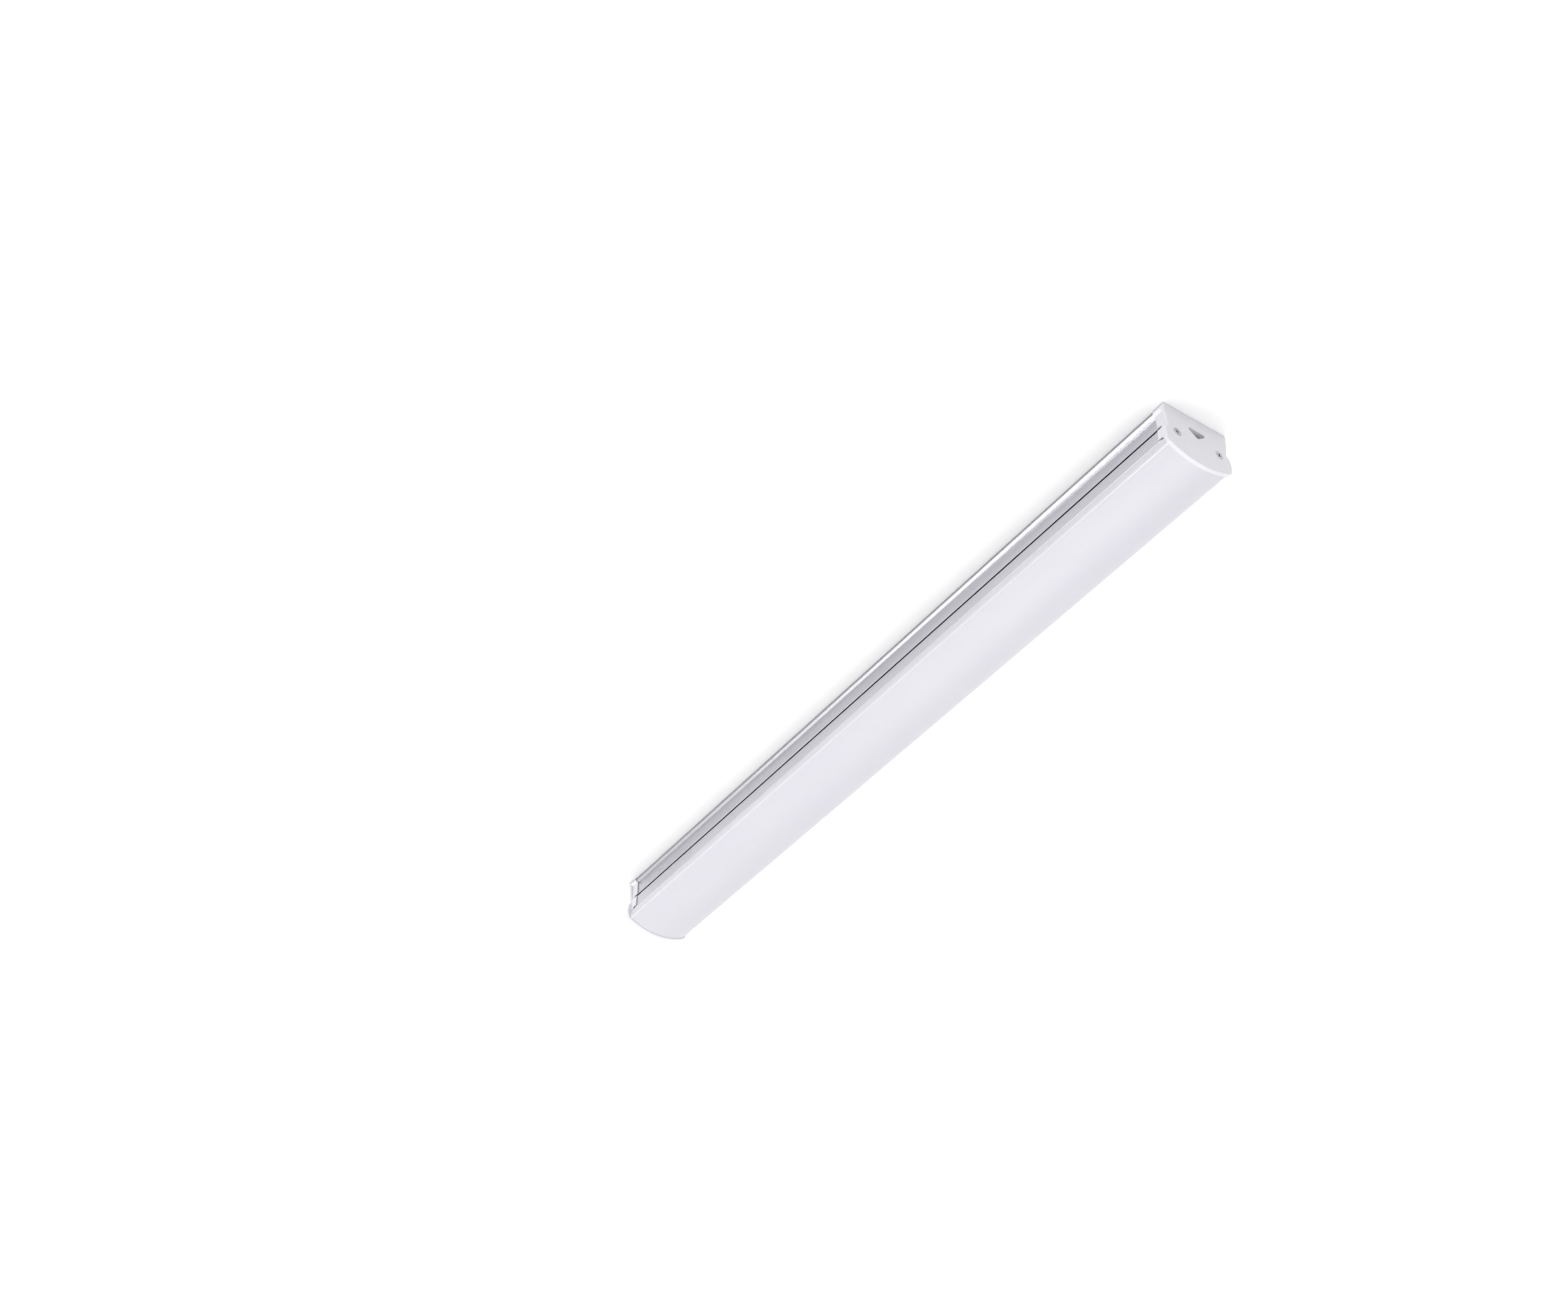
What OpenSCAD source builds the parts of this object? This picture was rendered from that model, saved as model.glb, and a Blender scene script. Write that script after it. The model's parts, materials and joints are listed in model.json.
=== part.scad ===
// Linear LED batten light: an aluminium extrusion with a crowned opal cover,
// a plastic cap with a three-pin mains socket at each end, and the driver inside.
// Millimetres. X runs along the fixture, Z from the mounting back to the light side.
// The origin is the centre of the mounting back.

/* [Overall] */
// Length over both end caps
fixture_length = 600; // [580:10:1200]
// Thickness of each end cap's face plate
cap_plate = 3; // [2.6:0.2:4]
// Length of the cheeks that clasp the housing's sides, measured from the cap's face
cheek_length = 9.5; // [8:0.5:12]

/* [Housing] */
// Thickness of the housing's mounting back
back_plate = 1.6; // [1.2:0.2:2]
// Thickness of the housing's side walls
side_wall = 1.5; // [1.3:0.1:1.6]
// Depth of the clip groove along each side
groove_depth = 2.4; // [1.8:0.1:2.6]
// Height of the clip groove's mouth
groove_height = 1.6; // [1.4:0.1:1.8]
// Radius of the screw channels that take the end cap screws
screw_channel_r = 1.35; // [1.35:0.05:1.45]

/* [Cover] */
// Wall thickness of the opal cover
cover_wall = 1.5; // [1.2:0.1:1.8]
// Rise of the cover's crown above its corners
crown_rise = 6.1; // [5:0.1:6.1]

/* [Light] */
// Number of LEDs in each row
leds_per_row = 48; // [24:1:60]
// Distance between the two rows of LEDs
led_row_gap = 16; // [10:1:24]

/* [Mains socket] */
// Radius of the three contact pins
pin_r = 0.8; // [0.6:0.05:0.9]
// Depth from the cap's face to the tips of the pins
pin_setback = 5.2; // [5:0.1:5.6]

/* [Wiring] */
// Radius of the insulated mains wires
mains_wire_r = 1.1; // [0.9:0.05:1.2]
// Radius of the insulated LED wires
led_wire_r = 0.7; // [0.6:0.05:0.8]

/* [Hidden] */

$fn = 48;
eps = 0.01;
half_length = fixture_length / 2;
// X of the end of the housing and cover, where they meet a cap's plate
body_end = half_length - cap_plate;

// Housing section: half widths (Y) and heights (Z)
flange_half = 24.2;
wall_half = 22.2;
low_wall_half = 22.6;
rim_half = 23;
flange_edge = 2;
flange_root = 2.95;
groove_z = 14;
rim_z = 25.4;
inner_half = wall_half - side_wall;
groove_floor = wall_half - groove_depth;
plate_low = 22.6;
plate_high = 24;
rib_z = 3.2;
boss_y = 16.7;
boss_z = 20.8;
boss_r = 2.9;

// Cover section
cover_low = 25.7;
corner_half = 23.4;
corner_z = 32.2;
leg_inner = 19.5;
leg_outer = 20.6;
cover_r = (corner_half * corner_half + crown_rise * crown_rise) / (2 * crown_rise);
cover_centre_z = corner_z + crown_rise - cover_r;

// End cap section
cap_back_half = 25;
cap_waist_half = 23.2;
cap_waist_z = 17.4;
cap_top = 39;
cap_front_r = 48.67;
cap_side_r = 18.4;
cap_side_centre = [7.65, 25.6];
cheek_top = rim_z;
cheek_skin = 0.7;
relief_depth = 2.6;
relief_r = 1.2;

// Mains socket: rounded triangle, its corner centres and radius
socket_corners = [[-5, 11.6], [5, 11.6], [0, 15.4]];
socket_r = 1.4;
pin_places = [[-3.4, 11.9], [3.4, 11.9], [0, 14.8]];
shroud_length = 9;
insert_front = 6.4;
insert_back = 12.6;
pin_back = 19;

// Light board
board_low = plate_high + 0.2;
board_high = board_low + 1;
board_half = 17;
board_end = body_end - 5;
led_size = [3.5, 2.8, 0.7];
wire_hole_x = -half_length + 204;
wire_hole_r = 3;

// Driver: its own X origin is the near end of its board
driver_x = -half_length + 34;
driver_length = 162;
pcb_low = 6;
pcb_high = 7.6;
pcb_half = 14.3;
tray_half = 15.5;
tray_wall = 1;
tray_top = 13;
earth_x = -half_length + 24;

// ---------- shared shapes ----------

// Extrudes a section drawn as (Y, Z) along X
module along_x(from_x, length) {
    translate([from_x, 0, 0]) rotate([90, 0, 90]) linear_extrude(length) children();
}

// A solid drawn at the near end, or its mirror image at the far end
module at_end(far) {
    if (far) mirror([1, 0, 0]) children();
    else children();
}

// A rectangle drawn at a distance from the centre line, on both sides of it
module paired_squares(from_half, low, size) {
    translate([from_half, low]) square(size);
    translate([-from_half - size[0], low]) square(size);
}

module paired_circles(place, r) {
    for (side = [-1, 1]) translate([side * place[0], place[1]]) circle(r = r);
}

// A closed outline given by its right-hand points, listed upwards
module mirrored_outline(points) {
    polygon(concat(points, [for (i = [len(points) - 1:-1:0]) [-points[i][0], points[i][1]]]));
}

// A cylinder along X that starts at from_x
module rod_x(from_x, length, place, r) {
    translate([from_x, place[0], place[1]]) rotate([0, 90, 0]) cylinder(h = length, r = r);
}

// A box on the driver's board: x is measured from the board's near end
module on_board(x, y, size) {
    translate([driver_x + x - size[0] / 2, y - size[1] / 2, pcb_high]) cube(size);
}

// A round can standing on the driver's board
module can_on_board(x, y, r, height) {
    translate([driver_x + x, y, pcb_high]) cylinder(h = height, r = r);
}

// ---------- wires ----------

function unit(v) = v / norm(v);

// Points of a rounded corner at b, on the way from a to c
function corner_points(a, b, c, bend, steps) =
    let (d = min(bend, 0.48 * norm(a - b), 0.48 * norm(c - b)),
         p = b + unit(a - b) * d,
         q = b + unit(c - b) * d)
    [for (i = [0:steps]) let (t = i / steps) (1 - t) * (1 - t) * p + 2 * t * (1 - t) * b + t * t * q];

function rounded_path(route, bend, steps) = concat(
    [route[0]],
    [for (i = [1:len(route) - 2]) each corner_points(route[i - 1], route[i], route[i + 1], bend, steps)],
    [route[len(route) - 1]]);

function tangent(path, i) =
    let (last = len(path) - 1)
    unit(i == 0 ? path[1] - path[0]
        : i == last ? path[last] - path[last - 1]
        : unit(path[i] - path[i - 1]) + unit(path[i + 1] - path[i]));

// Takes the part of v that is square to t, so a ring doesn't twist along the path
function carried(v, t) = unit(v - t * (v * t));

module sweep(route, r, bend = 5, steps = 4, sides = 8) {
    path = rounded_path(route, bend, steps);
    count = len(path);
    start = tangent(path, 0);
    across = abs(start[2]) < 0.9 ? [0, 0, 1] : [1, 0, 0];
    normals = [for (i = 0, n = carried(across, start);
                    i < count;
                    i = i + 1, n = i < count ? carried(n, tangent(path, i)) : n) n];
    points = [for (i = [0:count - 1], k = [0:sides - 1])
        let (n = normals[i], b = cross(tangent(path, i), n), a = 360 * k / sides)
        path[i] + r * (cos(a) * n + sin(a) * b)];
    walls = [for (i = [0:count - 2], k = [0:sides - 1])
        let (near = i * sides, far = near + sides, next = (k + 1) % sides)
        each [[near + k, far + k, far + next], [near + k, far + next, near + next]]];
    ends = [[for (k = [0:sides - 1]) k],
            [for (k = [sides - 1:-1:0]) (count - 1) * sides + k]];
    polyhedron(points = points, faces = concat(walls, ends), convexity = 10);
}

// ---------- housing ----------

// Outer section of the housing, with a ledge along each side of its back, grown by a given amount
module housing_outline(grow = 0, low = 0) {
    mirrored_outline([
        [flange_half - 0.3 + grow, low],
        [flange_half + grow, low + 0.3],
        [flange_half + grow, flange_edge + grow],
        [wall_half + grow, flange_root + grow],
        [wall_half + grow, groove_z - 1.6],
        [wall_half - 0.4 + grow, groove_z],
        [low_wall_half + grow, groove_z + groove_height],
        [rim_half + grow, rim_z - 0.8],
        [rim_half - 0.4 + grow, rim_z]]);
}

module driver_cavity() {
    swell = groove_floor - 1.3;
    mirrored_outline([
        [inner_half, back_plate],
        [inner_half, groove_z - 2.4],
        [swell, groove_z - 1.2],
        [swell, groove_z + groove_height + 1.2],
        [inner_half, groove_z + groove_height + 2.4],
        [inner_half, plate_low]]);
}

// Trough above the LED plate, with the bead that holds the cover's legs
module light_trough() {
    mirrored_outline([
        [21.6, plate_high],
        [21.6, plate_high + 0.7],
        [20.9, plate_high + 0.9],
        [20.9, rim_z + eps]]);
}

module housing_section() {
    difference() {
        union() {
            difference() {
                housing_outline();
                driver_cavity();
                light_trough();
            }
            paired_circles([boss_y, boss_z], boss_r);
            paired_squares(9, back_plate - 0.4, [1.5, rib_z - back_plate + 0.4]);
            translate([-4, back_plate - 0.4]) square([8, rib_z - back_plate + 0.4]);
        }
        paired_squares(groove_floor, groove_z, [5, groove_height]);
        paired_circles([boss_y, boss_z], screw_channel_r);
        paired_squares(boss_y - 0.6, boss_z - boss_r - 1, [1.2, boss_r + 1]);
        paired_squares(13, -1, [4, 1.5]);
        polygon([[-0.6, -eps], [0.6, -eps], [0, 0.5]]);
    }
}

module housing_extrusion() {
    color([0.74, 0.74, 0.77]) difference() {
        along_x(-body_end, 2 * body_end) housing_section();
        translate([wire_hole_x, 0, plate_low - 1]) cylinder(h = 3, r = wire_hole_r);
        translate([earth_x, 0, 0.7]) cylinder(h = 4, r = 1.5);
    }
}

// ---------- opal cover ----------

// Points of the cover's skirt, inset by the wall's thickness, up past the crown
function skirt_points(inset, low) = [
    [corner_half + 0.1 - inset, low],
    [corner_half + 0.6 - inset, corner_z - 2.7],
    [corner_half - inset, corner_z],
    [corner_half - inset, corner_z + 10]];

module crown_circle(inset) {
    translate([0, cover_centre_z]) circle(r = cover_r - inset, $fn = 96);
}

// Crowned shell with a leg inside each skirt, hooked outwards under the housing's bead
module cover_section() {
    hook_half = leg_outer + 0.7;
    difference() {
        intersection() {
            crown_circle(0);
            mirrored_outline(concat([
                [hook_half, plate_high],
                [hook_half, plate_high + 0.4],
                [leg_outer, plate_high + 0.9],
                [leg_outer, cover_low]], skirt_points(0, cover_low)));
        }
        intersection() {
            crown_circle(cover_wall);
            mirrored_outline(skirt_points(cover_wall, cover_low + cover_wall));
        }
        translate([-leg_inner, plate_high - 1])
            square([2 * leg_inner, cover_low + cover_wall - plate_high + 2]);
    }
}

module opal_cover() {
    color([0.93, 0.93, 0.95]) along_x(-body_end, 2 * body_end) cover_section();
}

// ---------- end caps ----------

module cap_outline() {
    mirrored_outline([
        [cap_back_half - 0.8, 0],
        [cap_back_half, 0.8],
        [cap_back_half - 0.6, 10],
        [cap_waist_half, cap_waist_z],
        [cap_waist_half + 0.5, cap_waist_z + 1.1],
        [cap_waist_half + 0.5, cap_waist_z + 4]]);
    intersection() {
        translate([0, cap_top - cap_front_r]) circle(r = cap_front_r, $fn = 96);
        union() for (side = [-1, 1]) intersection() {
            translate([side * cap_side_centre[0], cap_side_centre[1]]) circle(r = cap_side_r, $fn = 96);
            translate([side < 0 ? -40 : -1, cap_waist_z + 1]) square([41, 40]);
        }
        mirrored_outline([
            [cap_waist_half + 0.4, cap_waist_z + 1],
            [cap_waist_half + 1.7, cap_waist_z + 1.9],
            [cap_waist_half + 3.5, cap_waist_z + 6],
            [cap_waist_half + 3.5, cap_top]]);
    }
}

// Rounded triangle of the mains socket, grown by a wall's thickness
module socket_outline(grow = 0) {
    r = socket_r + grow;
    count = len(socket_corners);
    for (c = socket_corners) translate(c) circle(r = r);
    polygon([for (i = [0:count - 1])
        let (a = socket_corners[i],
             b = socket_corners[(i + 1) % count],
             along = (b - a) / norm(b - a),
             out = [along[1], -along[0]])
        each [a + r * out, b + r * out]]);
}

// Thin cheeks follow the housing's sides, with slots where its groove and rim run in
module cap_cheeks() {
    difference() {
        along_x(-body_end - eps, cheek_length - cap_plate + eps) difference() {
            intersection() {
                cap_outline();
                housing_outline(grow = cheek_skin + 0.1, low = -1);
                translate([-40, 0]) square([80, cheek_top]);
            }
            housing_outline(grow = 0.1, low = -1);
            translate([-inner_half, -eps]) square([2 * inner_half, cheek_top + 1]);
        }
        for (side = [-1, 1], z = [groove_z + groove_height / 2, cheek_top])
            translate([-half_length + cheek_length, side * cap_back_half, z])
                rotate([90, 0, 0]) linear_extrude(8, center = true) {
                    translate([-relief_depth, 0]) circle(r = relief_r);
                    translate([-relief_depth, -relief_r]) square([relief_depth + 1, 2 * relief_r]);
                }
    }
}

// Ribs that locate the cap inside the housing
module cap_spigot() {
    for (side = [-1, 1])
        translate([-body_end - eps, side * (inner_half - 0.8) - 0.6, back_plate + 0.3])
            cube([cheek_length - cap_plate + 1, 1.2, 9]);
}

module end_cap(far) {
    color([0.90, 0.90, 0.93]) at_end(far) difference() {
        union() {
            along_x(-half_length, cap_plate) cap_outline();
            cap_cheeks();
            cap_spigot();
            along_x(-body_end - eps, shroud_length - cap_plate) socket_outline(grow = 1.2);
        }
        along_x(-half_length - 1, shroud_length + 2) socket_outline();
        for (side = [-1, 1]) {
            rod_x(-half_length - 1, cap_plate + 2, [side * boss_y, boss_z], 1.75);
            translate([-half_length - eps, side * boss_y, boss_z])
                rotate([0, 90, 0]) cylinder(h = 1.6, r1 = 3.05, r2 = 1.45);
        }
    }
}

module end_cap_near() end_cap(false);
module end_cap_far() end_cap(true);

// Countersunk self-tapping screws with a cross recess
module cap_screws(far) {
    color([0.86, 0.86, 0.88]) at_end(far) for (side = [-1, 1])
        translate([-half_length + 0.1, side * boss_y, boss_z]) rotate([0, 90, 0]) difference() {
            union() {
                cylinder(h = 1.6, r1 = 2.9, r2 = 1.3);
                cylinder(h = 12, r = 1.3);
                translate([0, 0, 12]) cylinder(h = 1.8, r1 = 1.3, r2 = 0.3);
            }
            for (turn = [0, 90]) rotate(turn) translate([-1.5, -0.35, -eps]) cube([3, 0.7, 1.2]);
        }
}

module cap_screws_near() cap_screws(false);
module cap_screws_far() cap_screws(true);

// ---------- mains sockets ----------

// Insulating insert that plugs the socket's inner end, with a square channel for each pin
module socket_insert(far) {
    color([0.30, 0.30, 0.32]) at_end(far) difference() {
        union() {
            along_x(-half_length + insert_front, shroud_length - insert_front + eps)
                socket_outline(grow = -0.1);
            along_x(-half_length + shroud_length, insert_back - shroud_length)
                socket_outline(grow = 1.2);
        }
        along_x(-half_length + insert_front - 1, insert_back)
            for (place = pin_places) translate(place) square(2 * pin_r + 0.1, center = true);
    }
}

module socket_insert_near() socket_insert(false);
module socket_insert_far() socket_insert(true);

module contact_pins(far) {
    color([0.80, 0.76, 0.62]) at_end(far) for (place = pin_places) {
        translate([-half_length + pin_setback, place[0], place[1]]) rotate([0, 90, 0])
            cylinder(h = 0.5, r1 = 0.4, r2 = pin_r);
        rod_x(-half_length + pin_setback + 0.5 - eps, pin_back - pin_setback - 0.5, place, pin_r);
    }
}

module contact_pins_near() contact_pins(false);
module contact_pins_far() contact_pins(true);

// ---------- light board ----------

module board_plate(low, thickness, half_width) {
    difference() {
        translate([-board_end, -half_width, low]) cube([2 * board_end, 2 * half_width, thickness]);
        translate([wire_hole_x, 0, low - 1]) cylinder(h = thickness + 2, r = wire_hole_r);
    }
}

module thermal_tape() {
    color([0.75, 0.77, 0.80]) board_plate(plate_high, 0.2, board_half - 0.5);
}

module led_board() {
    color([0.95, 0.95, 0.93]) board_plate(board_low, 1, board_half);
}

module led_packages() {
    pitch = 2 * board_end / leds_per_row;
    color([0.98, 0.90, 0.55]) for (i = [0:leds_per_row - 1], side = [-1, 1])
        translate([
            -board_end + pitch * (i + 0.5) - led_size[0] / 2,
            side * led_row_gap / 2 - led_size[1] / 2,
            board_high])
            cube(led_size);
}

// Flanged bush that guards the LED wires where they pass through the plate
module wire_bushing() {
    color([0.25, 0.25, 0.27]) translate([wire_hole_x, 0, 0]) difference() {
        union() {
            translate([0, 0, plate_low - 0.8]) cylinder(h = 0.8, r = wire_hole_r + 1);
            translate([0, 0, plate_low - eps]) cylinder(h = board_high - plate_low, r = wire_hole_r - 0.05);
        }
        translate([0, 0, plate_low - 2]) cylinder(h = 6, r = 1.9);
    }
}

// ---------- driver ----------

module driver_tray() {
    color([0.92, 0.92, 0.90]) along_x(driver_x - 2, driver_length + 4) {
        translate([-tray_half, rib_z]) square([2 * tray_half, tray_wall]);
        paired_squares(tray_half - tray_wall, rib_z, [tray_wall, tray_top - rib_z]);
        paired_squares(tray_half - 2.4, rib_z, [2, pcb_low - rib_z]);
    }
}

module driver_board() {
    color([0.72, 0.56, 0.28]) translate([driver_x, -pcb_half, pcb_low])
        cube([driver_length, 2 * pcb_half, pcb_high - pcb_low]);
}

// Terminal block with wire entries on one face and clamp screws on top
module terminal_block(x, facing, entries, size) {
    color([0.20, 0.45, 0.28]) difference() {
        on_board(x, 0, size);
        for (place = entries) {
            translate([driver_x + x + facing * size[0] / 2, place[0], pcb_high + place[1]])
                rotate([0, 90, 0]) cylinder(h = 8, r = place[2], center = true);
            translate([driver_x + x - facing * 1.2, place[0], pcb_high + size[2] - 0.8])
                cylinder(h = 2, r = 1.6);
        }
    }
}

live_entry = 4;
low_entry = 2.6;
high_entry = 6;

module input_terminal_block() {
    entries = [for (y = [-live_entry, live_entry], z = [low_entry, high_entry]) [y, z, mains_wire_r + 0.05]];
    terminal_block(6, -1, entries, [11, 15, 9]);
}

module output_terminal_block() {
    entries = [for (y = [-2, 2]) [y, 3, led_wire_r + 0.05]];
    terminal_block(driver_length - 5, 1, entries, [8, 9, 7]);
}

module line_fuse() {
    color([0.16, 0.16, 0.17]) {
        can_on_board(17, -6.5, 4.2, 7);
        translate([0, 0, 7 - eps]) can_on_board(17, -6.5, 3.7, 0.6);
    }
}

module varistor() {
    color([0.15, 0.32, 0.62]) {
        translate([driver_x + 15, 7, pcb_high + 6.2]) rotate([0, 90, 0]) cylinder(h = 3.6, r = 5);
        for (y = [4.5, 9.5]) can_on_board(16.8, y, 0.4, 3);
    }
}

choke_x = 35;

module ring_on_board(x, outer_r, inner_r, low, height) {
    translate([driver_x + x, 0, pcb_high + low]) difference() {
        cylinder(h = height, r = outer_r);
        translate([0, 0, -1]) cylinder(h = height + 2, r = inner_r);
    }
}

module choke_core() {
    color([0.28, 0.30, 0.29]) ring_on_board(choke_x, 7, 4, 1.4, 7);
}

// Two windings wrap the ring core, apart from the gap between them
module choke_windings() {
    color([0.72, 0.38, 0.16]) difference() {
        ring_on_board(choke_x, 8.3, 2.7, 0, 9.8);
        ring_on_board(choke_x, 7.05, 3.95, 1.35, 7.1);
        translate([driver_x + choke_x - 10, -2.2, pcb_high - 1]) cube([20, 4.4, 12]);
    }
}

module film_capacitor() {
    color([0.85, 0.68, 0.14]) on_board(54.5, 0, [18, 8.5, 12]);
}

module bridge_rectifier() {
    color([0.12, 0.12, 0.13]) {
        on_board(71, -8, [8.5, 6.5, 3.4]);
        for (x = [68.5, 73.5], y = [-12, -4]) on_board(x, y, [1.2, 1.6, 0.8]);
    }
}

module bulk_capacitor() {
    color([0.14, 0.16, 0.22]) {
        translate([driver_x + 68, 6, pcb_high + 5]) rotate([0, 90, 0]) cylinder(h = 20, r = 5);
        for (y = [3.5, 8.5]) translate([driver_x + 66.6, y, pcb_high]) {
            cylinder(h = 5, r = 0.35);
            translate([-0.35, 0, 4.6]) rotate([0, 90, 0]) cylinder(h = 1.8, r = 0.35);
        }
    }
}

transformer_x = 101;

// A box centred on the transformer in X and Y, from a height above the board
module at_transformer(low, size) {
    translate([driver_x + transformer_x - size[0] / 2, -size[1] / 2, pcb_high + low]) cube(size);
}

// Ferrite core: an outer frame and a middle leg along X, with a window each side of it
module transformer_core() {
    color([0.22, 0.22, 0.23]) difference() {
        at_transformer(3, [20, 19, 8]);
        for (side = [-1, 1]) translate([0, side * 5.3, 0]) at_transformer(2, [14, 4.6, 10]);
    }
}

// Bobbin: a tube round the middle leg, a flange at each end of it, and a foot under each yoke
module transformer_bobbin() {
    color([0.13, 0.13, 0.14]) difference() {
        union() {
            at_transformer(2, [13.6, 8, 10]);
            for (side = [-1, 1]) {
                translate([side * 6.4, 0, 0]) at_transformer(0.8, [0.8, 14.8, 12.4]);
                translate([side * 7.6, 0, 0]) at_transformer(0, [3.2, 14.8, 2.6]);
            }
        }
        at_transformer(2.8, [20, 6.4, 8.4]);
    }
}

module transformer_winding() {
    color([0.80, 0.70, 0.20]) difference() {
        at_transformer(1.2, [11.9, 14, 11.6]);
        at_transformer(1.95, [13, 8.1, 10.1]);
    }
}

module switching_transistor() {
    color([0.18, 0.18, 0.19]) {
        on_board(119, -6, [4.4, 10, 12]);
        translate([0, 0, 4]) on_board(117.2, -6, [1, 10, 9.5]);
    }
}

module driver_chip() {
    color([0.12, 0.12, 0.13]) {
        on_board(121, 7, [5, 4, 1.6]);
        for (x = [119.1, 120.4, 121.6, 122.9], side = [-1, 1])
            on_board(x, 7 + side * 2.5, [0.45, 1.4, 0.6]);
    }
}

module output_capacitor() {
    color([0.14, 0.16, 0.22]) can_on_board(134, -5, 4.5, 12);
}

module output_diode() {
    color([0.15, 0.15, 0.16]) {
        translate([driver_x + 130, 6, pcb_high + 2.2]) rotate([0, 90, 0]) cylinder(h = 7, r = 1.9);
        for (x = [128, 139]) can_on_board(x, 6, 0.4, 2.6);
        rod_x(driver_x + 128, 2.2, [6, pcb_high + 2.2], 0.4);
        rod_x(driver_x + 136.8, 2.2, [6, pcb_high + 2.2], 0.4);
    }
}

module resistors() {
    color([0.45, 0.65, 0.72]) for (x = [82, 90], y = [-12, -8.5])
        translate([driver_x + x + 4 * (y + 12) / 3.5 - 2, y, pcb_high + 1.1])
            rotate([0, 90, 0]) cylinder(h = 3.4, r = 1.1);
}

// ---------- wiring ----------

tail_x = -half_length + pin_back;
block_x = driver_x + 0.5;
entry_low = pcb_high + low_entry;
entry_high = pcb_high + high_entry;
wall_run = 18.1;
live_run = [-wall_run, 6.6];
neutral_run = [wall_run, 4.2];
earth_run = [-wall_run, 3.9];

module wire_live_in() {
    color([0.50, 0.30, 0.18]) sweep([
        [tail_x, pin_places[0][0], pin_places[0][1]],
        [tail_x + 6, pin_places[0][0], pin_places[0][1]],
        [block_x - 6, -live_entry, entry_low],
        [block_x + 2, -live_entry, entry_low]], mains_wire_r);
}

module wire_neutral_in() {
    color([0.20, 0.35, 0.70]) sweep([
        [tail_x, pin_places[1][0], pin_places[1][1]],
        [tail_x + 6, pin_places[1][0], pin_places[1][1]],
        [block_x - 6, live_entry, entry_low],
        [block_x + 2, live_entry, entry_low]], mains_wire_r);
}

module wire_earth_in() {
    color([0.55, 0.70, 0.20]) sweep([
        [tail_x, 0, pin_places[2][1]],
        [tail_x + 2, 0, pin_places[2][1]],
        [earth_x - 1, 1, 15.6],
        [earth_x - 1, 6, 15.4],
        [earth_x - 1.5, 11.5, 10],
        [earth_x, 11.5, rib_z + 1.9],
        [earth_x, 7.6, rib_z + 1.9]], mains_wire_r, bend = 3);
}

// Each through wire runs beside the driver, leaves the wall before the far end and meets a far pin
module through_wire(start, run, far_place, leave) {
    sweep(concat(start, [
        [half_length - leave, run[0], run[1]],
        [half_length - leave + 8, run[0] * 0.75, far_place[1]],
        [half_length - leave + 18, far_place[0], far_place[1]],
        [half_length - pin_back, far_place[0], far_place[1]]]), mains_wire_r);
}

module wire_live_through() {
    color([0.50, 0.30, 0.18]) through_wire([
        [block_x + 2, -live_entry, entry_high],
        [block_x - 6, -live_entry, entry_high],
        [block_x - 8, -12, entry_high - 1],
        [block_x - 2, live_run[0], live_run[1] + 1],
        [block_x + 14, live_run[0], live_run[1]]], live_run, pin_places[0], 60);
}

module wire_neutral_through() {
    color([0.20, 0.35, 0.70]) through_wire([
        [block_x + 2, live_entry, entry_high],
        [block_x - 6, live_entry, entry_high],
        [block_x - 8, 12, entry_high - 1],
        [block_x - 2, neutral_run[0], neutral_run[1] + 2],
        [block_x + 14, neutral_run[0], neutral_run[1]]], neutral_run, pin_places[1], 60);
}

module wire_earth_through() {
    color([0.55, 0.70, 0.20]) through_wire([
        [earth_x, -7.6, rib_z + 1.1],
        [earth_x, -13.5, rib_z + 1.1],
        [earth_x + 6, earth_run[0], earth_run[1]],
        [earth_x + 20, earth_run[0], earth_run[1]]], earth_run, pin_places[2], 44);
}

// LED wires leave the driver, rise through the bush and land on the board's pads
module led_wire(side) {
    end_x = driver_x + driver_length;
    sweep([
        [end_x - 3, side * 2, pcb_high + 3],
        [end_x + 3, side * 2, pcb_high + 3],
        [wire_hole_x, side * 0.85, pcb_high + 6],
        [wire_hole_x, side * 0.85, board_high + 2.2],
        [wire_hole_x + 5, side * 2.4, board_high + 2.2],
        [wire_hole_x + 8, side * 2.4, board_high + led_wire_r + 0.1],
        [wire_hole_x + 11, side * 2.4, board_high + led_wire_r + 0.02]], led_wire_r, bend = 3);
}

module wire_led_plus() {
    color([0.75, 0.12, 0.12]) led_wire(1);
}

module wire_led_minus() {
    color([0.14, 0.14, 0.15]) led_wire(-1);
}

// Two ring lugs are stacked on the earth screw, one for each earth wire
module earth_lug(side, low) {
    difference() {
        union() {
            translate([earth_x, 0, low]) cylinder(h = 0.8, r = 3);
            translate([earth_x - 1.3, side < 0 ? -5.2 : 0, low]) cube([2.6, 5.2, 0.8]);
            translate([earth_x, side * 5.1, rib_z + (side > 0 ? 1.9 : 1.1)])
                rotate([-90 * side, 0, 0]) cylinder(h = 2.4, r = 1.3);
        }
        translate([earth_x, 0, low - 1]) cylinder(h = 3, r = 1.5);
    }
}

module earth_lugs() {
    color([0.78, 0.78, 0.76]) {
        earth_lug(-1, rib_z);
        earth_lug(1, rib_z + 0.82);
    }
}

module earth_screw() {
    color([0.70, 0.66, 0.50]) translate([earth_x, 0, 0]) difference() {
        union() {
            translate([0, 0, 0.9]) cylinder(h = rib_z + 1, r = 1.45);
            translate([0, 0, rib_z + 1.64]) cylinder(h = 1.7, r = 2.7);
        }
        for (turn = [0, 90]) rotate(turn) translate([-1.4, -0.3, rib_z + 2.3]) cube([2.8, 0.6, 2]);
    }
}

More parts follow.
